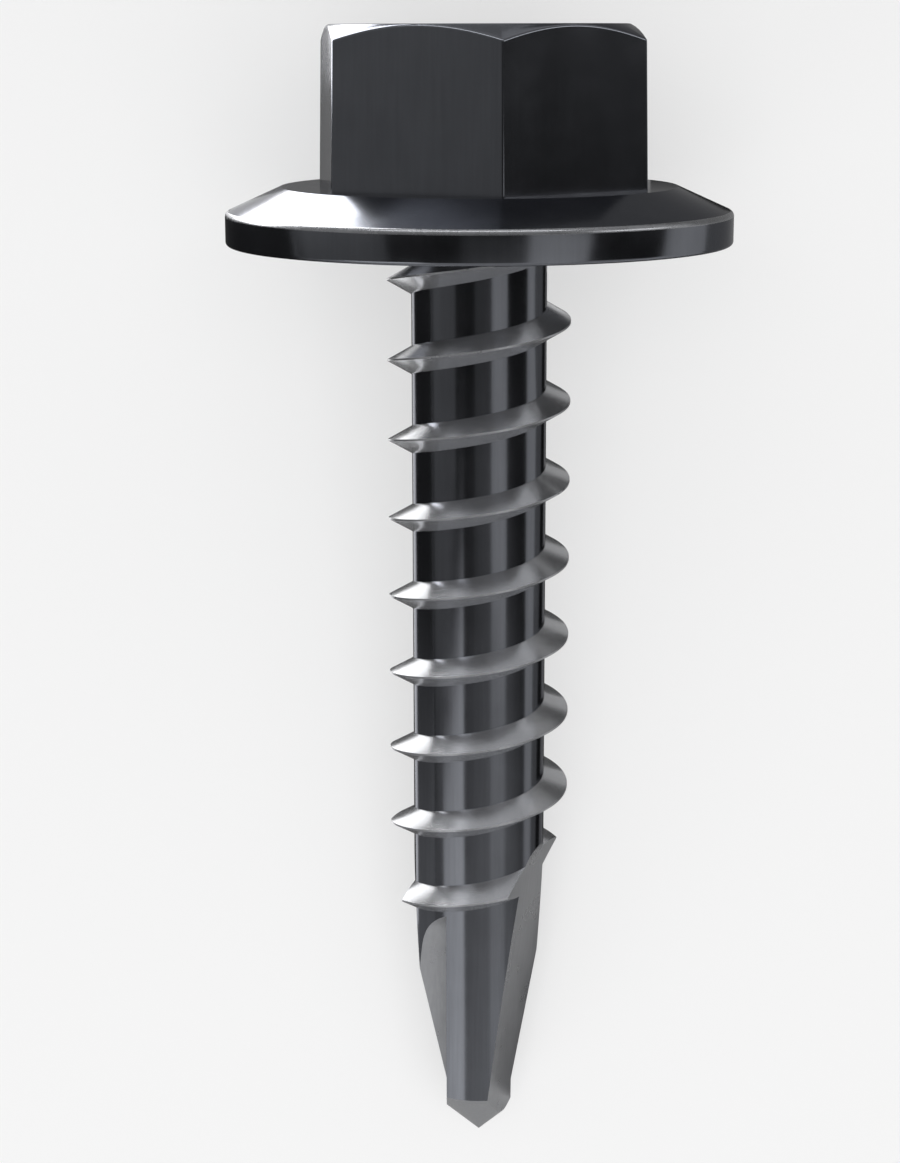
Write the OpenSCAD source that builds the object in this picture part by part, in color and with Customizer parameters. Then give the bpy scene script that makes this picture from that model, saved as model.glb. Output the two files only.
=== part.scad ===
// Self-drilling hex flange screw, one forged and rolled piece, in millimetres.
// The screw is drawn upright, head up, with the bearing face of its flange at z = 0,
// and then laid on its side as it comes to rest: on the rim of the flange and the drill point.

/* [Head] */
// Width across the flats of the hexagon, where it meets the flange
hex_af = 8.0; // [7.6:0.05:8.6]
// Slope of each flat, so that the hexagon narrows towards its top
hex_draft = 1.1; // [0:0.1:2]
// Turn of the hexagon about the screw's axis
hex_turn = 6.5; // [0:0.5:59.5]
// Height of the head, from the bearing face to its flat top
head_h = 5.57; // [4.6:0.01:6.5]
// Diameter of the flat top, inside the chamfer
top_d = 7.7; // [6.8:0.05:7.8]
// Slope of the chamfer that takes the corners off the top
chamfer_angle = 30; // [20:1:40]

/* [Flange] */
// Diameter of the flange
flange_d = 13.18; // [12:0.02:14.4]
// Height of the flange's upright rim, to its sharp corner
rim_h = 0.83; // [0.6:0.01:1.1]
// Diameter of the flat ledge round the hexagon
ledge_d = 10.3; // [10:0.05:11]
// Height of the ledge above the bearing face
ledge_h = 1.48; // [1.2:0.01:1.9]
// Radius of the rim's upper edge
rim_round_top = 0.15; // [0.05:0.01:0.25]
// Radius of the rim's lower edge
rim_round_bottom = 0.1; // [0.05:0.01:0.25]
// Diameter of the shallow relief under the head, round the thread
relief_d = 5.4; // [5.2:0.05:6]
// Depth of that relief
relief_depth = 0.15; // [0.1:0.01:0.3]

/* [Shank and thread] */
// Length from the bearing face to the tip
length = 25; // [22:0.1:30]
// Diameter of the shank, at the root of the thread
shank_d = 3.56; // [3.3:0.01:3.8]
// Diameter over the thread's crest
thread_d = 4.83; // [4.5:0.01:5.1]
// Rise of the thread in one turn
thread_pitch = 2.117; // [1.8:0.001:2.6]
// Width of the thread's ridge at its root
ridge_w = 0.75; // [0.6:0.01:0.95]
// Width of the flat along the crest
crest_w = 0.05; // [0.02:0.01:0.12]
// Height of the crest above the bearing face on the screw's right-hand side
thread_lead_in = 0.107; // [-0.4:0.001:0.6]
// Distance from the tip to the end of the thread
thread_stop = 6.5; // [6:0.1:9]
// Angle over which the thread fades into the shank at that end
fade_angle = 110; // [60:5:180]

/* [Drill point] */
// Full angle of the cone at the tip
tip_angle = 94; // [80:1:130]
// Distance of each cutting wall from the screw's axis
wall_offset = 0.905; // [0.6:0.005:1.1]
// Distance from the tip at which the flute's floor crosses the axis
floor_cross = 1.65; // [1:0.05:2.5]
// Slope of the flute's floor
floor_slope = 11.3; // [8:0.1:13]
// Distance from the tip to the round end of the flute
flute_run = 5.8; // [5:0.05:7]
// Distance of the relief flat from the axis, at the tip
flat_offset = 0.675; // [0.5:0.005:0.9]
// Slope of the relief flat
flat_slope = 6.5; // [4:0.1:8]
// Distance from the tip to the round end of the relief flat
flat_run = 8.05; // [7:0.05:9]
// Turn of the relief flat about the axis, behind the land that it relieves
flat_turn = -22; // [-35:1:-10]
// Radius of the cutter that leaves the round ends
cutter_r = 2; // [1.5:0.05:3]

/* [Hidden] */

steel = [0.23, 0.235, 0.25];
turn_steps = 40;
$fn = 96;

hex_face_h = head_h - ledge_h;
flange_r = flange_d / 2;
shank_r = shank_d / 2;
thread_r = thread_d / 2;
tip_h = shank_r / tan(tip_angle / 2);

// Slope of the cone between the rim and the ledge, and where its rounded edge starts and ends
cone_slope = atan2(ledge_h - rim_h, flange_r - ledge_d / 2);
edge_run = rim_round_top * tan((90 - cone_slope) / 2);

// Thread angles, counted from the right-hand side and falling towards the tip
thread_top = 90;
thread_end = -360 * (length - thread_stop + thread_lead_in) / thread_pitch;

// How deep the ridge's root sits in the shank, and the share of its height left where it ends
root_sink = 0.12;
end_share = 0.05;

// How far the cutters run past the tip
past_tip = 1;

// How the screw lies: on the rim's lower edge and on the end of the land at the drill point
rest_r = flange_r - rim_round_bottom - shank_r;
rest_z = rim_round_bottom + length - tip_h;
rest_tilt = atan2(rest_r, rest_z) + asin(rim_round_bottom / norm([rest_r, rest_z]));
rest_lift = (flange_r - rim_round_bottom) * cos(rest_tilt)
    - rim_round_bottom * sin(rest_tilt) + rim_round_bottom;
rest_mid = (top_d / 2 * sin(rest_tilt) + (head_h - length) * cos(rest_tilt)) / 2;

// One pair of opposite flats, drafted, as wide as the flange
module flat_pair() {
    foot = hex_af / 2;
    top = foot - hex_face_h * tan(hex_draft);
    rotate([90, 0, 0])
        linear_extrude(height = flange_d, center = true)
            polygon([[-foot, 0], [foot, 0], [top, hex_face_h], [-top, hex_face_h]]);
}

module hexagon() {
    reach = flange_r;
    intersection() {
        translate([0, 0, ledge_h])
            rotate([0, 0, hex_turn])
                intersection_for (k = [0:2]) rotate([0, 0, k * 60]) flat_pair();
        // Chamfer: a cone that falls away from the edge of the flat top
        rotate_extrude()
            polygon([
                [0, 0], [reach, 0],
                [reach, head_h - (reach - top_d / 2) * tan(chamfer_angle)],
                [top_d / 2, head_h], [0, head_h]
            ]);
    }
}

module flange() {
    difference() {
        rotate_extrude() {
            polygon([
                [0, 0], [flange_r - rim_round_bottom, 0],
                [flange_r, rim_round_bottom], [flange_r, rim_h - edge_run],
                [flange_r - edge_run * cos(cone_slope), rim_h + edge_run * sin(cone_slope)],
                [ledge_d / 2, ledge_h], [0, ledge_h]
            ]);
            translate([flange_r - rim_round_bottom, rim_round_bottom]) circle(r = rim_round_bottom);
            translate([flange_r - rim_round_top, rim_h - edge_run]) circle(r = rim_round_top);
        }
        translate([0, 0, -relief_depth]) cylinder(d = relief_d, h = 2 * relief_depth);
    }
}

module shank() {
    rotate_extrude()
        polygon([
            [0, ledge_h], [shank_r, ledge_h], [shank_r, tip_h - length], [0, -length]
        ]);
}

// Height of the crest's middle, and how far the ridge stands out, at a turn angle
function crest_z(a) = thread_lead_in + thread_pitch * a / 360;
function ridge_share(a) = min(1, max(0, (a - thread_end) / fade_angle));

// The ridge's section at one angle: root below, crest below, crest above, root above
function ridge_section(a) =
    let (
        share = ridge_share(a),
        inner = shank_r - root_sink,
        outer = inner + (thread_r - inner) * max(share, end_share),
        slope = (ridge_w - crest_w) / 2 / (thread_r - shank_r),
        half_crest = crest_w / 2,
        half_root = half_crest + slope * (outer - inner)
    )
    [for (p = [[inner, -half_root], [outer, -half_crest], [outer, half_crest], [inner, half_root]])
        [p[0] * cos(a), p[0] * sin(a), crest_z(a) + p[1]]];

module thread() {
    steps = ceil((thread_top - thread_end) / 360 * turn_steps);
    points = [
        for (i = [0:steps]) each ridge_section(thread_end + (thread_top - thread_end) * i / steps)
    ];
    sides = [
        for (i = [0:steps - 1], k = [0:3])
            let (a = 4 * i + k, b = 4 * i + (k + 1) % 4)
                each [[a, b, b + 4], [a, b + 4, a + 4]]
    ];
    last = 4 * steps;
    ends = [[3, 2, 1, 0], [last, last + 1, last + 2, last + 3]];
    polyhedron(points = points, faces = concat(sides, ends), convexity = 10);
}

// Outline of a milled cut: a sloping floor that runs to the tip, with a round end.
// x is the distance from the axis and y the height above the tip.
module milled_outline(floor_at_tip, slope, run) {
    start = floor_at_tip + run * tan(slope);
    reach = start + 2 * cutter_r;
    polygon([
        [floor_at_tip - past_tip * tan(slope), -past_tip], [reach, -past_tip],
        [reach, run], [start, run]
    ]);
    translate([start + cutter_r * cos(slope), run - cutter_r * sin(slope)]) circle(r = cutter_r);
}

// The flute in front of a land: an upright cutting wall and a sloping floor
module flute_cut() {
    rotate([0, 0, -90])
        translate([0, -wall_offset, -length])
            rotate([90, 0, 0])
                linear_extrude(height = thread_d)
                    milled_outline(-floor_cross * tan(floor_slope), floor_slope, flute_run);
}

// The flat that relieves the back of a land
module relief_cut() {
    rotate([0, 0, flat_turn])
        translate([0, 0, -length])
            rotate([90, 0, 0])
                linear_extrude(height = 2 * thread_d, center = true)
                    milled_outline(flat_offset, flat_slope, flat_run);
}

module drill_point_cuts() {
    for (side = [0, 180]) rotate([0, 0, side]) {
        flute_cut();
        relief_cut();
    }
}

module screw() {
    color(steel) {
        hexagon();
        flange();
        difference() {
            union() {
                shank();
                thread();
            }
            drill_point_cuts();
        }
    }
}

module at_rest() {
    translate([0, -rest_mid, rest_lift]) rotate([rest_tilt - 90, 0, 0]) children();
}

at_rest() screw();
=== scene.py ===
"""A self-drilling hex flange screw in dark burnished steel, lying in a small soft-light studio."""
import math

import bmesh
import bpy
from mathutils import Matrix, Vector


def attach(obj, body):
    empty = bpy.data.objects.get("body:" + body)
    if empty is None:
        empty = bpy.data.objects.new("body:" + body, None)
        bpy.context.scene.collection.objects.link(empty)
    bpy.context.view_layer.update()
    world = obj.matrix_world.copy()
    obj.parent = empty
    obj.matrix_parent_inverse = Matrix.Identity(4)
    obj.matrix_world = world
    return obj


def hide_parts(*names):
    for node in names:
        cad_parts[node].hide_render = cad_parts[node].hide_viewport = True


bl_info = {
    "name": "Hex Flange Screw",
    "version": (1, 0, 0),
    "blender": (4, 5, 0),
    "location": "3D View > Sidebar > Screw",
    "description": "Builds a self-drilling hex flange screw and the studio that it lies in",
    "category": "Add Mesh",
}

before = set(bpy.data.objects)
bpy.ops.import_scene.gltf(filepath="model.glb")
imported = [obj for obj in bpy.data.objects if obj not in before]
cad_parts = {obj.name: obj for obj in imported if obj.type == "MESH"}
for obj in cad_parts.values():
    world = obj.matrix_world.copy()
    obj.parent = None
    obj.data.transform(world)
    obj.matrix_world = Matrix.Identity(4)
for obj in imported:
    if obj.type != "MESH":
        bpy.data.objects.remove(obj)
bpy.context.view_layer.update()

MM = 0.001
MATH = "ShaderNodeMath"  # the node for one step of arithmetic

# How the screw is meshed
AROUND = 192  # faces round the head and the shank
ARC_STEPS = 8  # faces round each small rounded edge
CUTTER_STEPS = 24  # faces round a milled run-out
EDGE_STEPS = 3  # faces across each softened edge of the hexagon
EDGE_ANGLE = math.radians(25)  # least angle between two faces whose edge is softened
SHARP_ANGLE = math.radians(22)  # least angle between two faces whose edge shows as sharp
BURIED = 0.3 * MM  # how far the hexagon's foot reaches into the flange
PAST = 1.0 * MM  # how far the milling cutters run past the screw
ROWS_A_TURN = 5  # mesh rows in one turn of the thread: mid-root, foot, crest, crest, foot
SPARE_TURNS = 3  # turns of rows beyond the screw's length, so that they reach past both ends
TOP_TURN = 0.35  # where the thread ends in the flange, in turns up from the right-hand side
TOP_FADE = 0.1  # turns over which it fades there
LEAST_RIDGE = 0.05  # least share of the ridge's height that is finished as thread
SEAM_GAP = 1e-7  # metres within which the points of the seam and of each pole become one
SLIVER = 1e-8  # metres within which an edge counts as nothing

# How the steel and the floor are lit and drawn
STREAK_LENGTH = 30  # how many times longer than wide a draw mark is
FLOOR_HALF = 1500  # half the floor's width, in millimetres
LIT_THROUGH = 0.5  # share of the floor's light that comes through it from behind
THROUGH_STRENGTH = 1.14  # strength of that light, where 1 shows the floor's own colour
CARD_HEIGHT = 0.2 * MM  # how far the reflector cards lie above the floor
CARD_LEAN = (-0.28, 1, 0)  # the way along which a card's brightness changes
CARD_EVEN = 2 * MM  # how far along that way the change starts
CARD_FULL = -9 * MM  # how far along it the change is full
SOFTBOX_DISTANCE = 300  # from the floor's middle to each softbox, in millimetres
BACK_STRIP_PLACE = (-0.03, 0.27, 0.14)  # in metres, beyond the head
BACK_STRIP_TILT = math.radians(-62)  # turns its face to the screw
ROOM_LEAN = (-0.09, 1, 0)  # the way along which the room's light changes
ROOM_BY_POINT = (-0.32, -0.66, 0.03, 0.75)  # start and end along that way, and strength at each
ROOM_BY_HEAD = (-0.3, 0.6, 0.0, 0.5)  # the same, towards the head

# The camera, as it stands to the upright screw
CAMERA_PLACE = (-0.78, -63.013, 5.414)  # from the middle of the bearing face, in millimetres
CAMERA_PITCH = math.radians(12.94)  # how far down it looks
CAMERA_ROLL = 0.0023  # in radians
LENS = 74.31  # focal length in millimetres
SENSOR_HEIGHT = 36.0  # in millimetres
CLIP_START = 1 * MM
CLIP_END = 10.0  # in metres


# Sizes and finishes that a user would change


def size(name, millimetres, description):
    """A length that can be set, given in millimetres."""
    return bpy.props.FloatProperty(
        name=name, description=description, default=millimetres * MM, min=0.0,
        unit="LENGTH", precision=5)


def angle(name, degrees, description):
    """An angle that can be set, given in degrees."""
    return bpy.props.FloatProperty(
        name=name, description=description, default=math.radians(degrees), subtype="ANGLE")


class ScrewSizes(bpy.types.PropertyGroup):
    """Sizes of the screw, the same as those of its solid model."""

    hex_af: size("Across flats", 8.0, "Width across the flats where the hexagon meets the flange")
    hex_draft: angle("Flat draft", 1.1, "Slope of each flat towards the top")
    hex_turn: angle("Hexagon turn", 6.5, "Turn of the hexagon about the screw's axis")
    head_h: size("Head height", 5.57, "From the bearing face to the flat top")
    top_d: size("Top flat", 7.7, "Diameter of the flat top inside the chamfer")
    chamfer: angle("Chamfer", 30, "Slope of the chamfer on the hexagon's corners")
    hex_edge: size("Hexagon edge", 0.05, "Radius of the hexagon's forged edges")
    flange_d: size("Flange", 13.18, "Diameter of the flange")
    rim_h: size("Rim height", 0.83, "Height of the flange's upright rim")
    ledge_d: size("Ledge", 10.3, "Diameter of the flat ledge round the hexagon")
    ledge_h: size("Ledge height", 1.48, "Height of the ledge above the bearing face")
    rim_round_top: size("Rim upper edge", 0.15, "Radius of the rim's upper edge")
    rim_round_bottom: size("Rim lower edge", 0.1, "Radius of the rim's lower edge")
    relief_d: size("Relief", 5.4, "Diameter of the relief under the head")
    relief_depth: size("Relief depth", 0.15, "Depth of the relief under the head")
    length: size("Length", 25.0, "From the bearing face to the tip")
    shank_d: size("Shank", 3.56, "Diameter at the root of the thread")
    thread_d: size("Thread", 4.83, "Diameter over the thread's crest")
    pitch: size("Pitch", 2.117, "Rise of the thread in one turn")
    ridge_w: size("Ridge width", 0.75, "Width of the thread's ridge at its root")
    crest_w: size("Crest width", 0.05, "Width of the flat along the crest")
    lead_in: size("Lead-in", 0.107, "Height of the crest on the screw's right-hand side")
    root_sink: size("Root sink", 0.12, "How deep the ridge's root sits in the shank")
    thread_stop: size("Thread stop", 6.5, "From the tip to the end of the thread")
    fade: angle("Thread fade", 110, "Angle over which the thread fades at its lower end")
    tip_angle: angle("Tip angle", 94, "Full angle of the cone at the tip")
    wall_offset: size("Wall offset", 0.905, "From the axis to each cutting wall")
    floor_cross: size(
        "Floor crossing", 1.65, "From the tip to where a flute's floor meets the axis")
    floor_slope: angle("Floor slope", 11.3, "Slope of each flute's floor")
    flute_run: size("Flute run", 5.8, "From the tip to the round end of a flute")
    flat_offset: size("Flat offset", 0.675, "From the axis to each relief flat, at the tip")
    flat_slope: angle("Flat slope", 6.5, "Slope of each relief flat")
    flat_run: size("Flat run", 8.05, "From the tip to the round end of a relief flat")
    flat_turn: angle("Flat turn", -22, "Turn of the relief flats about the axis")
    cutter_r: size("Cutter", 2.0, "Radius of the milling cutter")


def linear(hex_colour):
    """Linear RGBA for an sRGB colour written as six hex digits."""
    parts = [int(hex_colour[i:i + 2], 16) / 255 for i in (0, 2, 4)]
    return [p / 12.92 if p <= 0.04045 else ((p + 0.055) / 1.055) ** 2.4 for p in parts] + [1.0]


def colour(name, hex_colour, description):
    """A colour that can be set, given as six hex digits."""
    return bpy.props.FloatVectorProperty(
        name=name, description=description, default=linear(hex_colour), size=4,
        min=0.0, max=1.0, subtype="COLOR")


class StudioFinish(bpy.types.PropertyGroup):
    """Colours of the screw's steel and of the floor that it lies on."""

    steel: colour("Steel", "63656a", "Colour of the burnished steel")
    steel_edge_on: colour("Steel edge-on", "cbcbcd", "Tint of the burnished steel seen edge-on")
    # The rim edge's colour is paler than the steel, as a painted highlight line
    painted_highlight: colour("Rubbed steel", "808184", "Colour of the flange's upper edge, rubbed bright")
    # The flanks' colour is paler than the steel, as a painted sheen in place of their reflections
    rolled: colour("Rolled steel", "c7c8cb", "Colour of the thread's rolled flanks")
    milled: colour("Milled steel", "98999c", "Colour of the milled drill point")
    floor: colour("Floor", "f0f0f0", "Colour of the pale floor")


# Small helpers


def feed(tree, socket, source):
    """Sets a socket to a value, or links it to the node or the socket that feeds it."""
    if isinstance(source, bpy.types.Node):
        source = source.outputs[0]
    if isinstance(source, bpy.types.NodeSocket):
        tree.links.new(source, socket)
    else:
        socket.default_value = source


def node(tree, kind, links=None, **settings):
    """Adds a node with its settings, and feeds its inputs by name or number."""
    made = tree.nodes.new(kind)
    for name, value in settings.items():
        setattr(made, name, value)
    for name, source in (links or {}).items():
        feed(tree, made.inputs[name], source)
    return made


def object_from(name, data):
    """Links a mesh, a lamp or a camera into the scene, as an object at the origin."""
    made = bpy.data.objects.new(name, data)
    bpy.context.scene.collection.objects.link(made)
    return made


def solid_from(name, shape, material):
    """Turns a closed shape into an object of one material, with its faces outwards."""
    bmesh.ops.recalc_face_normals(shape, faces=shape.faces)
    mesh = bpy.data.meshes.new(name)
    shape.to_mesh(mesh)
    shape.free()
    mesh.materials.append(material)
    return object_from(name, mesh)


def bake(piece):
    """Turns a piece with its modifiers into a plain mesh."""
    evaluated = piece.evaluated_get(bpy.context.evaluated_depsgraph_get())
    mesh = bpy.data.meshes.new_from_object(evaluated)
    piece.modifiers.clear()
    piece.data = mesh


def combine(piece, tool, operation):
    """Joins, cuts or intersects a piece with a tool, which is then thrown away."""
    modifier = piece.modifiers.new("combine", "BOOLEAN")
    modifier.operation = operation
    modifier.solver = "EXACT"
    modifier.material_mode = "TRANSFER"
    modifier.object = tool
    bake(piece)
    bpy.data.objects.remove(tool)


def revolved(name, profile, material):
    """A solid turned about Z, from (radius, height) points that start and end on the axis."""
    shape = bmesh.new()
    rings = []
    for radius, height in profile:
        count = AROUND if radius > 0 else 1
        rings.append([
            shape.verts.new((
                radius * math.cos(2 * math.pi * i / count),
                radius * math.sin(2 * math.pi * i / count), height))
            for i in range(count)
        ])
    for low, high in zip(rings, rings[1:]):
        for i in range(AROUND):
            corners = [
                low[i % len(low)], low[(i + 1) % len(low)],
                high[(i + 1) % len(high)], high[i % len(high)],
            ]
            corners = list(dict.fromkeys(corners))
            if len(corners) > 2:
                shape.faces.new(corners)
    return solid_from(name, shape, material)


def arc(centre, radius, start, end, steps):
    """Points along an arc, from one angle to another."""
    return [
        (centre[0] + radius * math.cos(start + (end - start) * i / steps),
         centre[1] + radius * math.sin(start + (end - start) * i / steps))
        for i in range(steps + 1)
    ]


def prism(name, outline, depth, place, material):
    """A closed bar of one outline in X and Z, as deep as given along Y, put in its place."""
    shape = bmesh.new()
    front = [shape.verts.new((x, -depth, z)) for x, z in outline]
    back = [shape.verts.new((x, 0.0, z)) for x, z in outline]
    shape.faces.new(front)
    shape.faces.new(list(reversed(back)))
    for i in range(len(outline)):
        j = (i + 1) % len(outline)
        shape.faces.new([front[j], front[i], back[i], back[j]])
    made = solid_from(name, shape, material)
    made.data.transform(place)
    return made


# The screw


def tip_height(s):
    """Height of the cone at the tip."""
    return s.shank_d / 2 / math.tan(s.tip_angle / 2)


def rest_place(s):
    """How the upright screw is laid down: on the rim of its flange and on its drill point."""
    rim = s.flange_d / 2 - s.rim_round_bottom
    # From the centre of the rim's lower round to the end of a land, across the axis and along it
    rest_r = rim - s.shank_d / 2
    rest_z = s.rim_round_bottom + s.length - tip_height(s)
    tilt = math.atan2(rest_r, rest_z) + math.asin(s.rim_round_bottom / math.hypot(rest_r, rest_z))
    lift = rim * math.cos(tilt) - s.rim_round_bottom * math.sin(tilt) + s.rim_round_bottom
    # Halfway from the tip to the far edge of the flat top
    middle = (s.top_d / 2 * math.sin(tilt) + (s.head_h - s.length) * math.cos(tilt)) / 2
    return Matrix.Translation((0, -middle, lift)) @ Matrix.Rotation(tilt - math.pi / 2, 4, "X")


def forged_hexagon(s, steel):
    """The hexagon, drafted towards its top, with chamfered corners and softened edges."""
    shape = bmesh.new()
    corner_turns = [s.hex_turn + math.radians(60 * k + 30) for k in range(6)]
    rings = []
    for z in (s.ledge_h - BURIED, s.head_h):
        flat = s.hex_af / 2 - (z - s.ledge_h) * math.tan(s.hex_draft)
        corner = flat / math.cos(math.pi / 6)
        rings.append([
            shape.verts.new((corner * math.cos(turn), corner * math.sin(turn), z))
            for turn in corner_turns
        ])
    shape.faces.new(list(reversed(rings[0])))
    shape.faces.new(rings[1])
    for k in range(6):
        j = (k + 1) % 6
        shape.faces.new([rings[0][k], rings[0][j], rings[1][j], rings[1][k]])
    hexagon = solid_from("hexagon", shape, steel)
    reach = s.flange_d / 2
    cone = revolved("chamfer", [
        (0, 0), (reach, 0), (reach, s.head_h - (reach - s.top_d / 2) * math.tan(s.chamfer)),
        (s.top_d / 2, s.head_h), (0, s.head_h)], steel)
    combine(hexagon, cone, "INTERSECT")
    bevel = hexagon.modifiers.new("softened edges", "BEVEL")
    bevel.width = s.hex_edge
    bevel.segments = EDGE_STEPS
    bevel.limit_method = "ANGLE"
    bevel.angle_limit = EDGE_ANGLE
    bake(hexagon)
    return hexagon


def forged_flange(s, steel, painted_highlight):
    """The flange: flat bearing face with its relief, upright rim, cone and ledge."""
    r = s.flange_d / 2
    cone_slope = math.atan2(s.ledge_h - s.rim_h, r - s.ledge_d / 2)
    edge_run = s.rim_round_top * math.tan((math.pi / 2 - cone_slope) / 2)
    lower = arc((r - s.rim_round_bottom, s.rim_round_bottom), s.rim_round_bottom,
                -math.pi / 2, 0, ARC_STEPS)
    upper = arc((r - s.rim_round_top, s.rim_h - edge_run), s.rim_round_top,
                0, math.pi / 2 - cone_slope, ARC_STEPS)
    flange = revolved("flange", [
        (0, s.relief_depth), (s.relief_d / 2, s.relief_depth), (s.relief_d / 2, 0),
        *lower, *upper, (s.ledge_d / 2, s.ledge_h), (0, s.ledge_h)], steel)
    # Only the rounded upper edge of the rim takes the paler steel, a painted highlight line
    flange.data.materials.append(painted_highlight)
    for face in flange.data.polygons:
        if upper[-1][1] > face.center.z > upper[0][1]:
            face.material_index = 1
    return flange


def ridge_rows(tree, given, stand):
    """Heights from the crest's middle, and radii, of the rows in one turn of the thread.

    Stand is how much of the full ridge there is, from 0 to 1.
    """
    shank_r, thread_r, crest_w = given["Shank radius"], given["Thread radius"], given["Crest width"]
    sunk = node(tree, MATH, {0: shank_r, 1: given["Root sink"]}, operation="SUBTRACT")
    full = node(tree, MATH, {0: thread_r, 1: sunk}, operation="SUBTRACT")
    risen = node(tree, MATH, {0: full, 1: stand, 2: sunk}, operation="MULTIPLY_ADD")
    crest_r = node(tree, MATH, {0: risen, 1: shank_r}, operation="MAXIMUM")
    rise = node(tree, MATH, {0: crest_r, 1: shank_r}, operation="SUBTRACT")
    height = node(tree, MATH, {0: thread_r, 1: shank_r}, operation="SUBTRACT")
    both = node(tree, MATH, {0: given["Ridge width"], 1: crest_w}, operation="SUBTRACT")
    flank = node(tree, MATH, {0: both, 1: 2.0}, operation="DIVIDE")
    slope = node(tree, MATH, {0: flank, 1: height}, operation="DIVIDE")
    half_crest = node(tree, MATH, {0: crest_w, 1: 2.0}, operation="DIVIDE")
    half_foot = node(tree, MATH, {0: rise, 1: slope, 2: half_crest}, operation="MULTIPLY_ADD")
    half_pitch = node(tree, MATH, {0: given["Pitch"], 1: 2.0}, operation="DIVIDE")
    low_crest = node(tree, MATH, {0: half_crest, 1: -1.0}, operation="MULTIPLY")
    low_foot = node(tree, MATH, {0: half_foot, 1: -1.0}, operation="MULTIPLY")
    heights = (half_pitch, half_foot, half_crest, low_crest, low_foot)
    radii = (shank_r, shank_r, crest_r, crest_r, shank_r)
    return heights, radii


def by_row(tree, in_turn, values):
    """Picks one of the values for each row in a turn of the thread."""
    switch = node(tree, "GeometryNodeIndexSwitch", data_type="FLOAT")
    while len(switch.index_switch_items) < len(values):
        switch.index_switch_items.new()
    feed(tree, switch.inputs["Index"], in_turn)
    for k, value in enumerate(values):
        feed(tree, switch.inputs[k + 1], value)
    return switch


def marked_faces(tree, grid, from_top, stand):
    """Marks the faces of the thread's crest and of its flanks, where the ridge stands out."""
    row = node(tree, MATH, {0: from_top}, operation="FLOOR")
    helix_row = node(tree, MATH, {0: row, 1: 1.0}, operation="SUBTRACT")
    in_turn = node(tree, MATH, {0: helix_row, 1: ROWS_A_TURN}, operation="FLOORED_MODULO")
    # The crest is the third row of faces in a turn, and the flanks are the rows beside it
    from_crest = node(tree, MATH, {0: in_turn, 1: 2.0}, operation="SUBTRACT")
    rows_away = node(tree, MATH, {0: from_crest}, operation="ABSOLUTE")
    stands = node(tree, "FunctionNodeCompare", {0: stand, 1: LEAST_RIDGE}, data_type="FLOAT",
                  operation="GREATER_THAN")
    marked = grid
    for name, away in (("Crest", 0.0), ("Flank", 1.0)):
        in_row = node(tree, "FunctionNodeCompare", {0: rows_away, 1: away, "Epsilon": 0.1},
                      data_type="FLOAT", operation="EQUAL")
        on_ridge = node(tree, "FunctionNodeBooleanMath", {0: in_row, 1: stands}, operation="AND")
        marked = node(tree, "GeometryNodeStoreNamedAttribute", {
            "Geometry": marked, "Name": name, "Value": on_ridge},
            data_type="BOOLEAN", domain="FACE")
    return marked


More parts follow.
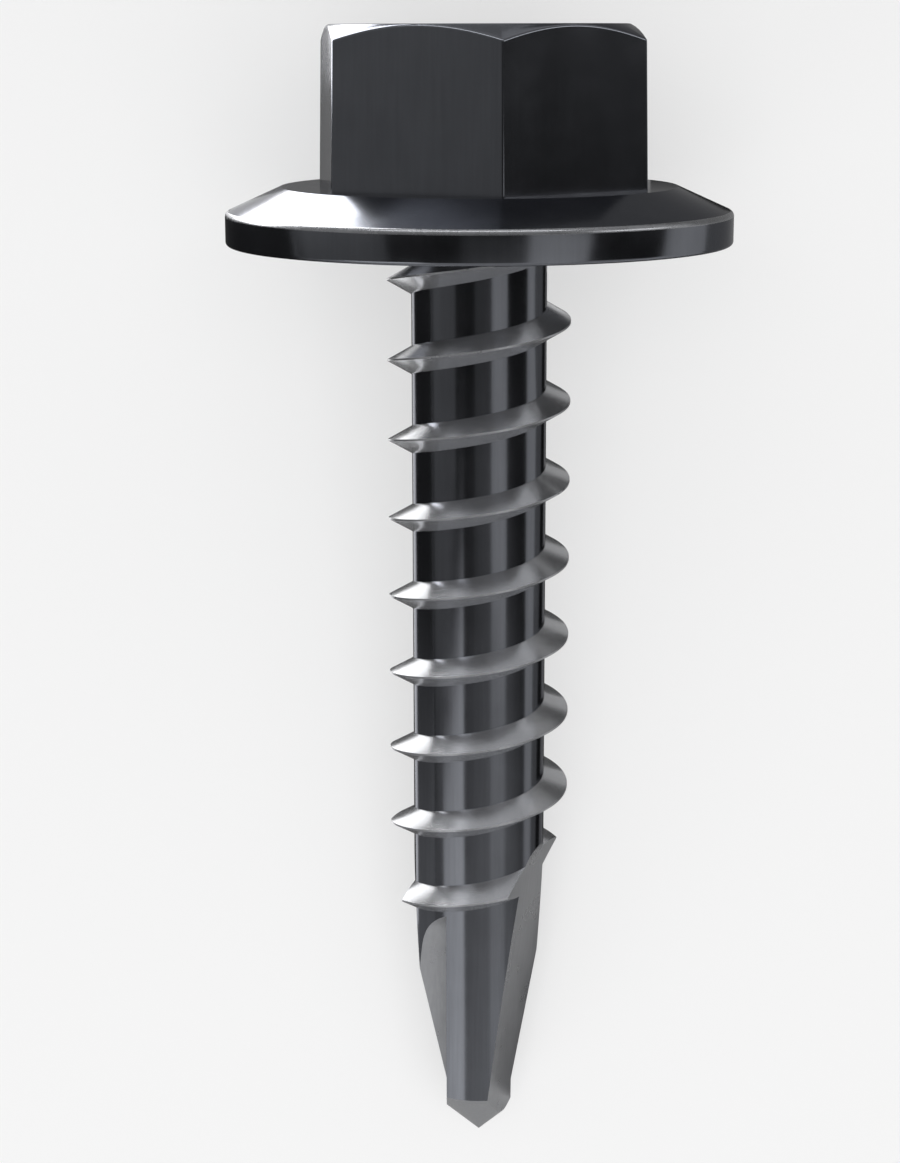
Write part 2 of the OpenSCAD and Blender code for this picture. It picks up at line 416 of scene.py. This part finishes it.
def thread_tree():
    """Geometry nodes that roll a thread round a shank: a grid whose rows follow the helix."""
    tree = bpy.data.node_groups.new("Rolled thread", "GeometryNodeTree")
    interface = tree.interface
    interface.new_socket("Geometry", in_out="OUTPUT", socket_type="NodeSocketGeometry")
    for kind, names in (
            ("Float", ("Shank radius", "Thread radius", "Root sink", "Pitch", "Ridge width",
                       "Crest width", "Lead-in", "Top turn", "End turn", "Fade turns", "Top",
                       "Shoulder", "Tip")),
            ("Int", ("Columns", "Turns")),
            ("Material", ("Shank material", "Flank material", "Crest material"))):
        for name in names:
            interface.new_socket(name, in_out="INPUT", socket_type="NodeSocket" + kind)
    given = node(tree, "NodeGroupInput").outputs

    # The rows of all turns, and one more at each end, which closes on the axis
    helix_rows = node(tree, MATH, {0: given["Turns"], 1: ROWS_A_TURN}, operation="MULTIPLY")
    rows = node(tree, MATH, {0: helix_rows, 1: 2.0}, operation="ADD")
    last_row = node(tree, MATH, {0: rows, 1: 1.0}, operation="SUBTRACT")
    columns = node(tree, MATH, {0: given["Columns"], 1: 1.0}, operation="ADD")
    grid = node(tree, "GeometryNodeMeshGrid", {
        "Size X": 1.0, "Size Y": last_row, "Vertices X": columns, "Vertices Y": rows})

    # Where each point is: its share of a turn, and its row, counted down from the top
    spot = node(tree, "ShaderNodeSeparateXYZ", {0: node(tree, "GeometryNodeInputPosition")}).outputs
    share = node(tree, MATH, {0: spot["X"], 1: 0.5}, operation="ADD")
    half = node(tree, MATH, {0: last_row, 1: 2.0}, operation="DIVIDE")
    from_top = node(tree, MATH, {0: spot["Y"], 1: half}, operation="ADD")
    row = node(tree, MATH, {0: from_top}, operation="ROUND")
    helix_row = node(tree, MATH, {0: row, 1: 1.0}, operation="SUBTRACT")
    per_turn = node(tree, MATH, {0: helix_row, 1: ROWS_A_TURN}, operation="DIVIDE")
    whole = node(tree, MATH, {0: per_turn}, operation="FLOOR")
    in_turn = node(tree, MATH, {0: helix_row, 1: ROWS_A_TURN}, operation="FLOORED_MODULO")

    # Turns up the helix from the right-hand side, and how much of the ridge stands there
    above = node(tree, MATH, {0: share, 1: 1.0}, operation="ADD")
    turn = node(tree, MATH, {0: above, 1: whole}, operation="SUBTRACT")
    from_end = node(tree, MATH, {0: turn, 1: given["End turn"]}, operation="SUBTRACT")
    low_fade = node(tree, MATH, {0: from_end, 1: given["Fade turns"]},
                    operation="DIVIDE", use_clamp=True)
    to_top = node(tree, MATH, {0: given["Top turn"], 1: turn}, operation="SUBTRACT")
    top_fade = node(tree, MATH, {0: to_top, 1: TOP_FADE}, operation="DIVIDE", use_clamp=True)
    stand = node(tree, MATH, {0: low_fade, 1: top_fade}, operation="MULTIPLY")
    heights, radii = ridge_rows(tree, given, stand)

    # Height, held between the top of the shank and the shoulder of the cone
    climb = node(tree, MATH, {0: given["Pitch"], 1: turn, 2: given["Lead-in"]},
                 operation="MULTIPLY_ADD")
    free_z = node(tree, MATH, {0: climb, 1: by_row(tree, in_turn, heights)}, operation="ADD")
    below_top = node(tree, MATH, {0: free_z, 1: given["Top"]}, operation="MINIMUM")
    held_z = node(tree, MATH, {0: below_top, 1: given["Shoulder"]}, operation="MAXIMUM")

    # The first row and the last one go to the axis, at the top of the shank and at the tip
    at_tip = node(tree, "FunctionNodeCompare", {0: row, 1: last_row}, data_type="FLOAT",
                  operation="GREATER_EQUAL")
    at_top = node(tree, "FunctionNodeCompare", {0: row, 1: 0.5}, data_type="FLOAT",
                  operation="LESS_THAN")
    at_end = node(tree, "FunctionNodeBooleanMath", {0: at_tip, 1: at_top}, operation="OR")
    radius = node(tree, "GeometryNodeSwitch", {
        "Switch": at_end, "False": by_row(tree, in_turn, radii), "True": 0.0}, input_type="FLOAT")
    tipped = node(tree, "GeometryNodeSwitch", {
        "Switch": at_tip, "False": held_z, "True": given["Tip"]}, input_type="FLOAT")
    z = node(tree, "GeometryNodeSwitch", {
        "Switch": at_top, "False": tipped, "True": given["Top"]}, input_type="FLOAT")
    around = node(tree, MATH, {0: share, 1: 2 * math.pi}, operation="MULTIPLY")
    cosine = node(tree, MATH, {0: around}, operation="COSINE")
    sine = node(tree, MATH, {0: around}, operation="SINE")
    x = node(tree, MATH, {0: cosine, 1: radius}, operation="MULTIPLY")
    y = node(tree, MATH, {0: sine, 1: radius}, operation="MULTIPLY")
    point = node(tree, "ShaderNodeCombineXYZ", {"X": x, "Y": y, "Z": z})

    rolled = node(tree, "GeometryNodeSetPosition", {
        "Geometry": marked_faces(tree, grid, from_top, stand), "Position": point})
    closed = node(tree, "GeometryNodeMergeByDistance", {"Geometry": rolled, "Distance": SEAM_GAP})
    outward = node(tree, "GeometryNodeFlipFaces", {"Mesh": closed})
    real = node(tree, "GeometryNodeRealizeInstances", {"Geometry": outward})
    finished = node(tree, "GeometryNodeSetMaterial", {
        "Geometry": real, "Material": given["Shank material"]})
    for name in ("Crest", "Flank"):
        faces = node(tree, "GeometryNodeInputNamedAttribute", {"Name": name}, data_type="BOOLEAN")
        finished = node(tree, "GeometryNodeSetMaterial", {
            "Geometry": finished, "Selection": faces, "Material": given[name + " material"]})
    node(tree, "NodeGroupOutput", {"Geometry": finished})
    return tree


def rolled_shank(s, steel, painted_sheen_flanks, crest_steel):
    """The shank with its thread and its cone, from the flange down to the tip."""
    values = {
        "Shank radius": s.shank_d / 2, "Thread radius": s.thread_d / 2, "Root sink": s.root_sink,
        "Pitch": s.pitch, "Ridge width": s.ridge_w, "Crest width": s.crest_w,
        "Lead-in": s.lead_in, "Top turn": TOP_TURN,
        "End turn": -(s.length - s.thread_stop + s.lead_in) / s.pitch,
        "Fade turns": s.fade / (2 * math.pi), "Top": s.ledge_h,
        "Shoulder": tip_height(s) - s.length, "Tip": -s.length,
        "Columns": AROUND, "Turns": math.ceil(s.length / s.pitch) + SPARE_TURNS,
        "Shank material": steel, "Flank material": painted_sheen_flanks, "Crest material": crest_steel,
    }
    shank = object_from("shank", bpy.data.meshes.new("shank"))
    modifier = shank.modifiers.new("rolled thread", "NODES")
    modifier.node_group = thread_tree()
    for item in modifier.node_group.interface.items_tree:
        if item.in_out == "INPUT":
            modifier[item.identifier] = values[item.name]
    bake(shank)
    shank.data.materials.pop(index=0)  # the slot of the empty mesh that the modifier started from
    return shank


def milled_outline(s, floor_at_tip, slope, run):
    """Outline of a milled cut, as distance from the axis and height above the tip."""
    start = floor_at_tip + run * math.tan(slope)
    centre = (start + s.cutter_r * math.cos(slope), run - s.cutter_r * math.sin(slope))
    end = arc(centre, s.cutter_r, math.pi - slope, math.pi / 2, CUTTER_STEPS)
    reach = centre[0] + 2 * s.cutter_r
    return [
        (floor_at_tip - PAST * math.tan(slope), -PAST), *end, (reach, end[-1][1]), (reach, -PAST)]


def mill_point(s, shank, cut_steel):
    """Mills the two flutes and the two relief flats into the shank's lower end."""
    upright = Matrix.Translation((0, 0, -s.length))
    flute = milled_outline(s, -s.floor_cross * math.tan(s.floor_slope), s.floor_slope, s.flute_run)
    flat = milled_outline(s, s.flat_offset, s.flat_slope, s.flat_run)
    for side in (0, math.pi):
        turned = Matrix.Rotation(side - math.pi / 2, 4, "Z")
        place = turned @ Matrix.Translation((0, -s.wall_offset, 0)) @ upright
        combine(shank, prism("flute", flute, s.thread_d, place, cut_steel), "DIFFERENCE")
        turned = Matrix.Rotation(side + s.flat_turn, 4, "Z")
        place = turned @ Matrix.Translation((0, s.thread_d, 0)) @ upright
        combine(shank, prism("flat", flat, 2 * s.thread_d, place, cut_steel), "DIFFERENCE")


class SCREW_OT_screw(bpy.types.Operator):
    """Forge, roll and mill the whole screw, in one piece"""

    bl_idname = "screw.build_screw"
    bl_label = "Build screw"

    def execute(self, context):
        s = context.scene.screw_sizes
        finish = context.scene.screw_finish
        steel = burnished_steel(finish, s)
        cut_steel = milled_steel(finish, s)
        # The rim's upper edge takes a paler steel, a painted highlight
        painted_highlight = painted_highlight_steel(finish, s)
        # The flanks take a paler steel as a painted sheen, and the crest takes the pale cut steel
        # to match it
        screw = rolled_shank(s, steel, painted_sheen_steel(finish, s), cut_steel)
        mill_point(s, screw, cut_steel)
        head = forged_hexagon(s, steel)
        combine(head, forged_flange(s, steel, painted_highlight), "UNION")
        combine(screw, head, "UNION")
        screw.name = "hex_flange_screw"
        mesh = screw.data
        shoulder = tip_height(s) - s.length
        ground = list(mesh.materials).index(cut_steel)
        for face in mesh.polygons:
            if face.center.z < shoulder:
                face.material_index = ground
        laid = rest_place(s)
        mesh.transform(laid)
        clean = bmesh.new()
        clean.from_mesh(mesh)
        bmesh.ops.dissolve_degenerate(clean, edges=clean.edges, dist=SLIVER)
        clean.to_mesh(mesh)
        clean.free()
        mesh.shade_smooth()
        mesh.set_sharp_from_angle(angle=SHARP_ANGLE)
        # The facets of the tip's cone stay flat, because its sharp apex has no one normal
        low_end = laid @ Vector((0, 0, shoulder))
        upwards = laid.to_3x3() @ Vector((0, 0, 1))
        for face in mesh.polygons:
            if (face.center - low_end).dot(upwards) < 0:
                face.use_smooth = False
        weighted = screw.modifiers.new("even normals", "WEIGHTED_NORMAL")
        weighted.keep_sharp = True
        bake(screw)
        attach(screw, "root")
        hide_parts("screw")
        return {"FINISHED"}


# Materials


def drawn_metal(material, s, base, metallic, streak, mottle, tone, gloss, depth):
    """Gives a metal its fine streaks along the screw, its uneven tone and its uneven gloss.

    The streaks are as wide as streak and the mottling as wide as mottle, both in millimetres.
    Tone and gloss are the least and greatest brightness and roughness, and depth is that of the
    streaks.
    """
    material.use_nodes = True
    tree = material.node_tree
    shader = tree.nodes["Principled BSDF"]
    shader.inputs["Metallic"].default_value = metallic
    place = rest_place(s)
    laid = node(tree, "ShaderNodeTexCoord").outputs["Object"]
    # Back to the upright screw, in millimetres
    upright = node(tree, "ShaderNodeMapping", {
        "Vector": laid, "Location": place.translation, "Rotation": place.to_euler(),
        "Scale": (MM, MM, MM)}, vector_type="TEXTURE")
    across, along = 1 / streak, 1 / (streak * STREAK_LENGTH)
    drawn = node(tree, "ShaderNodeVectorMath", {0: upright, 1: (across, across, along)},
                 operation="MULTIPLY")
    streaks = node(tree, "ShaderNodeTexNoise", {
        "Vector": drawn, "Scale": 1.0, "Detail": 2.0, "Roughness": 0.6}).outputs["Fac"]
    clouds = node(tree, "ShaderNodeTexNoise", {
        "Vector": upright, "Scale": 1 / mottle, "Detail": 3.0, "Roughness": 0.55}).outputs["Fac"]
    # A noise mostly stays between 0.3 and 0.7, and the sum of the two between 0.7 and 1.3
    both = node(tree, MATH, {0: streaks, 1: clouds}, operation="ADD")
    brightness = node(tree, "ShaderNodeMapRange", {
        "Value": both, "From Min": 0.7, "From Max": 1.3, "To Min": tone[0], "To Max": tone[1]})
    cloudy = node(tree, "ShaderNodeHueSaturation", {"Color": base, "Value": brightness})
    rough = node(tree, "ShaderNodeMapRange", {
        "Value": clouds, "From Min": 0.3, "From Max": 0.7, "To Min": gloss[0], "To Max": gloss[1]})
    bump = node(tree, "ShaderNodeBump", {"Height": streaks, "Distance": depth})
    feed(tree, shader.inputs["Base Color"], cloudy)
    feed(tree, shader.inputs["Roughness"], rough)
    feed(tree, shader.inputs["Normal"], bump)
    return shader


def burnished_steel(finish, s):
    """Dark burnished steel, forged, drawn and tumbled smooth.

    It mirrors the studio softly in deep grey, with faint draw marks along the screw and a slightly
    cloudy oxide, which also keeps it from turning bright where it is seen edge-on.
    """
    material = bpy.data.materials.new("burnished_steel")
    # Draw marks are about 0.02 mm wide, and are drawn four times as coarse, so that they show
    shader = drawn_metal(material, s, finish.steel, metallic=1.0, streak=0.08, mottle=1.3,
                         tone=(0.92, 1.08), gloss=(0.14, 0.18), depth=0.0002 * MM)
    shader.inputs["Specular Tint"].default_value = finish.steel_edge_on
    return material


def painted_highlight_steel(finish, s):
    """Paler, softer steel on the upper edge of the flange's rim, as a painted highlight.

    It outlines the flange with a thin, paler, softer line.
    """
    material = bpy.data.materials.new("painted_highlight_steel")
    # Its streaks are about 0.02 mm wide, and are drawn three times as coarse
    drawn_metal(material, s, finish.painted_highlight, metallic=0.85, streak=0.06, mottle=0.4,
                tone=(0.9, 1.1), gloss=(0.22, 0.32), depth=0.0002 * MM)
    return material


def painted_sheen_steel(finish, s):
    """Thread flanks pressed smooth by the rolling dies.

    They are paler than the burnished skin, and a little cloudy: the paler colour is a painted
    sheen, in place of the bright reflections on the flanks.
    """
    material = bpy.data.materials.new("painted_sheen_steel")
    # Marks of the dies are about 0.02 mm wide, and are drawn three times as coarse
    drawn_metal(material, s, finish.rolled, metallic=0.84, streak=0.06, mottle=0.5,
                tone=(0.93, 1.07), gloss=(0.18, 0.24), depth=0.0003 * MM)
    return material


def milled_steel(finish, s):
    """Cut steel of the milled drill point. The thread's crest takes it too, so that its pale
    colour there is a painted sheen that matches the flanks.

    Satin rather than glossy, with fine cutter marks along the cut.
    """
    material = bpy.data.materials.new("milled_steel")
    # Cutter marks are about 0.05 mm apart, and are drawn twice as coarse, so that they show
    drawn_metal(material, s, finish.milled, metallic=0.7, streak=0.1, mottle=1.0,
                tone=(0.92, 1.08), gloss=(0.26, 0.34), depth=0.001 * MM)
    return material


def pale_floor(finish):
    """Matt white paper, even and without gloss, so that only the screw's shadow shows on it."""
    material = bpy.data.materials.new("matt_paper")
    material.use_nodes = True
    tree = material.node_tree
    shader = tree.nodes["Principled BSDF"]
    shader.inputs["Base Color"].default_value = finish.floor
    shader.inputs["Roughness"].default_value = 1.0
    shader.inputs["Specular IOR Level"].default_value = 0.0
    # The camera and the steel see the paper partly lit through from behind, which keeps it pale and
    # its shadows soft. That light falls on nothing
    path = node(tree, "ShaderNodeLightPath")
    seen = node(tree, MATH, {
        0: path.outputs["Is Camera Ray"], 1: path.outputs["Is Glossy Ray"]}, operation="MAXIMUM")
    share = node(tree, MATH, {0: seen, 1: LIT_THROUGH}, operation="MULTIPLY")
    through = node(tree, "ShaderNodeEmission", {
        "Color": finish.floor, "Strength": THROUGH_STRENGTH})
    paper = node(tree, "ShaderNodeMixShader", {0: share, 1: shader, 2: through})
    feed(tree, tree.nodes["Material Output"].inputs["Surface"], paper)
    material.cycles.emission_sampling = "NONE"
    return material


def glow(name, strength, by_point):
    """A plain card of even brightness, or one whose brightness changes beside the screw's point."""
    material = bpy.data.materials.new(name)
    material.use_nodes = True
    tree = material.node_tree
    tree.nodes.clear()
    light = node(tree, "ShaderNodeEmission", {"Color": linear("ffffff"), "Strength": strength})
    if by_point is not None:
        place = node(tree, "ShaderNodeTexCoord").outputs["Object"]
        # Lines of even brightness lean across the floor, as the mirrored rays of one turn do
        along = node(tree, "ShaderNodeVectorMath", {0: place, 1: CARD_LEAN},
                     operation="DOT_PRODUCT").outputs["Value"]
        level = node(tree, "ShaderNodeMapRange", {
            "Value": along, "From Min": CARD_EVEN, "From Max": CARD_FULL,
            "To Min": strength, "To Max": by_point})
        feed(tree, light.inputs["Strength"], level)
    node(tree, "ShaderNodeOutputMaterial", {"Surface": light})
    return material


# The studio


def flat_sheet(name, outline, height, material):
    """A level sheet at a height, from an outline in millimetres."""
    mesh = bpy.data.meshes.new(name)
    mesh.from_pydata([(x * MM, y * MM, height) for x, y in outline], [],
                     [tuple(range(len(outline)))])
    mesh.materials.append(material)
    return object_from(name, mesh)


def card(name, outline, strength, by_point=None):
    """A card that lies just above the floor, where only polished steel can see it."""
    made = flat_sheet(name, outline, CARD_HEIGHT, glow(name, strength, by_point))
    for ray in ("camera", "diffuse", "transmission", "volume_scatter", "shadow"):
        setattr(made, "visible_" + ray, False)


def softbox(name, near, far, from_y, to_y, radiance, in_gloss=True, on_floor=True):
    """A softbox along Y, whose long edges lean from near to far degrees off the vertical.

    It reaches from from_y to to_y, in millimetres. Polished steel sees it where in_gloss is set,
    and it lights the floor where on_floor is.
    """
    data = bpy.data.lights.new(name, "AREA")
    data.shape = "RECTANGLE"
    lean = math.radians(near + far) / 2
    data.size = 2 * SOFTBOX_DISTANCE * MM * math.tan(math.radians(far - near) / 2)
    data.size_y = (to_y - from_y) * MM
    data.energy = radiance * math.pi * data.size * data.size_y
    made = object_from(name, data)
    made.location = Vector((
        SOFTBOX_DISTANCE * math.sin(lean), (from_y + to_y) / 2,
        SOFTBOX_DISTANCE * math.cos(lean))) * MM
    made.rotation_euler = (0, lean, 0)
    made.visible_glossy = in_gloss
    made.visible_diffuse = on_floor
    made.visible_camera = False
    return made


def hang_softboxes():
    """Hangs the ceiling, which lights the floor, and the softboxes that show in the steel."""
    softbox("ceiling", -25, 25, -220, 60, 2.4, in_gloss=False)
    softbox("right strip", 21, 49, -132, -30, 0.85)
    softbox("low right strip", 21, 49, -330, -132, 0.3)
    softbox("middle fill", -8, 20, -130, -55, 0.12)
    softbox("left softbox", -70, -29, -330, -132, 1.4)
    softbox("left fill", -85, -42, -112, 60, 0.22, on_floor=False)
    softbox("low left fill", -89, -70, -330, -112, 0.3, on_floor=False)
    softbox("rim light", 50, 86, 44, 140, 3.0, on_floor=False)
    back = softbox("back strip", -30, 30, -30, 30, 5.0, on_floor=False)
    back.location = BACK_STRIP_PLACE
    back.rotation_euler = (BACK_STRIP_TILT, 0, 0)


def lay_cards():
    """Lays the cards that show in the head, and then those for the shank, thread and point."""
    card("head_card", [
        (-40, 14.5), (-6.9, 14.5), (-5.6, 19), (-5.4, 25), (-6.5, 26.5), (-8.3, 28), (-9, 34),
        (-10, 60), (-40, 60)], 11.0)
    card("face_card", [(-6.7, 9), (-4.2, 9), (-4.2, 17), (-5.7, 17), (-6.7, 14.5)], 0.22)
    card("cone_card", [(2.5, 12.5), (40, 12.5), (40, 46), (6, 46), (6, 36), (2.5, 36)], 0.26)
    card("top_card", [(-8, 38), (5, 38), (6, 90), (-9, 90)], 0.5)
    card("thread_card", [
        (-6.1, 11.5), (-4.2, 11.5), (-3.4, 0), (-3.2, -10), (-4.1, -10), (-5.3, -2),
        (-6.1, 4)], 2.2)
    card("under_card", [
        (-4.2, 9), (3.6, 9), (3.0, -15), (-3.8, -15), (-3.2, -10), (-3.4, 0)], 0.06)
    card("tip_card", [(-4.5, -15.1), (4.8, -15.1), (4.8, -30), (-4.5, -30)], 0.42)
    card("left_card", [
        (-400, 60), (-7.4, 11.5), (-6.1, 9), (-6.1, 4), (-5.3, -2), (-4.1, -10), (-3.4, -20),
        (-400, -260)], 0.055, by_point=0.47)
    card("right_card", [(3.7, 12.5), (5, 12.5), (5, -15), (3.1, -15)], 0.42)
    card("turn_card", [(5, 12.5), (8, 12.5), (7.6, -15), (5, -15)], 0.02)
    card("far_right_card", [
        (8, 12.5), (22, 12.5), (22, 6), (15, 4), (15, -15), (7.6, -15)], 0.32)


def studio_room(finish):
    """The room beyond the floor: as pale as the floor for the camera, and dimmer for the steel."""
    world = bpy.data.worlds.new("studio")
    world.use_nodes = True
    tree = world.node_tree
    tree.nodes.clear()
    # It is dim above, lighter behind the screw's head and lightest towards its point, where the
    # right-hand side grows light a little before the left-hand one
    way = node(tree, "ShaderNodeTexCoord").outputs["Generated"]
    along = node(tree, "ShaderNodeVectorMath", {0: way, 1: ROOM_LEAN},
                 operation="DOT_PRODUCT").outputs["Value"]
    by_point, by_head = (
        node(tree, "ShaderNodeMapRange", {
            "Value": along, "From Min": start, "From Max": end, "To Min": dim, "To Max": light},
            interpolation_type="SMOOTHSTEP")
        for start, end, dim, light in (ROOM_BY_POINT, ROOM_BY_HEAD))
    level = node(tree, MATH, {0: by_point, 1: by_head}, operation="ADD")
    room = node(tree, "ShaderNodeBackground", {"Color": linear("ffffff"), "Strength": level})
    wall = node(tree, "ShaderNodeBackground", {"Color": finish.floor, "Strength": 1.0})
    seen = node(tree, "ShaderNodeLightPath").outputs["Is Camera Ray"]
    either = node(tree, "ShaderNodeMixShader", {0: seen, 1: room, 2: wall})
    node(tree, "ShaderNodeOutputWorld", {"Surface": either})
    return world


def studio_camera(s):
    """The camera: level with the top of the upright screw's head, and looking a little down."""
    data = bpy.data.cameras.new("camera")
    data.sensor_fit = "VERTICAL"
    data.sensor_height = SENSOR_HEIGHT
    data.lens = LENS
    data.clip_start = CLIP_START
    data.clip_end = CLIP_END
    camera = object_from("camera", data)
    place = Matrix.Translation(Vector(CAMERA_PLACE) * MM)
    pitch = Matrix.Rotation(math.pi / 2 - CAMERA_PITCH, 4, "X")
    roll = Matrix.Rotation(-CAMERA_ROLL, 4, "Z")
    camera.matrix_world = rest_place(s) @ place @ (pitch @ roll)
    return camera


class SCREW_OT_studio(bpy.types.Operator):
    """Lay the floor and the cards, hang the softboxes and set up the camera"""

    bl_idname = "screw.build_studio"
    bl_label = "Build studio"

    def execute(self, context):
        scene = context.scene
        corners = [(-FLOOR_HALF, -FLOOR_HALF), (FLOOR_HALF, -FLOOR_HALF),
                   (FLOOR_HALF, FLOOR_HALF), (-FLOOR_HALF, FLOOR_HALF)]
        floor = flat_sheet("floor", corners, 0, pale_floor(scene.screw_finish))
        scene.world = studio_room(scene.screw_finish)
        hang_softboxes()
        lay_cards()
        scene.camera = studio_camera(scene.screw_sizes)
        scene.view_settings.view_transform = "Standard"
        return {"FINISHED"}


class SCREW_PT_panel(bpy.types.Panel):
    """Lists the steps that build the screw and its studio"""

    bl_idname = "SCREW_PT_panel"
    bl_label = "Hex Flange Screw"
    bl_space_type = "VIEW_3D"
    bl_region_type = "UI"
    bl_category = "Screw"

    def draw(self, context):
        layout = self.layout
        for group in (context.scene.screw_sizes, context.scene.screw_finish):
            box = layout.box()
            for name in group.__annotations__:
                box.prop(group, name)
        layout.operator(SCREW_OT_screw.bl_idname)
        layout.operator(SCREW_OT_studio.bl_idname)


CLASSES = (ScrewSizes, StudioFinish, SCREW_OT_screw, SCREW_OT_studio, SCREW_PT_panel)


def register():
    """Registers the add-on's classes and its settings on the scene."""
    for each in CLASSES:
        bpy.utils.register_class(each)
    bpy.types.Scene.screw_sizes = bpy.props.PointerProperty(type=ScrewSizes)
    bpy.types.Scene.screw_finish = bpy.props.PointerProperty(type=StudioFinish)


def unregister():
    """Takes the add-on's settings and classes away again."""
    del bpy.types.Scene.screw_finish
    del bpy.types.Scene.screw_sizes
    for each in reversed(CLASSES):
        bpy.utils.unregister_class(each)


def main():
    """Builds everything."""
    register()
    bpy.ops.screw.build_screw()
    bpy.ops.screw.build_studio()


if __name__ == "__main__":
    main()
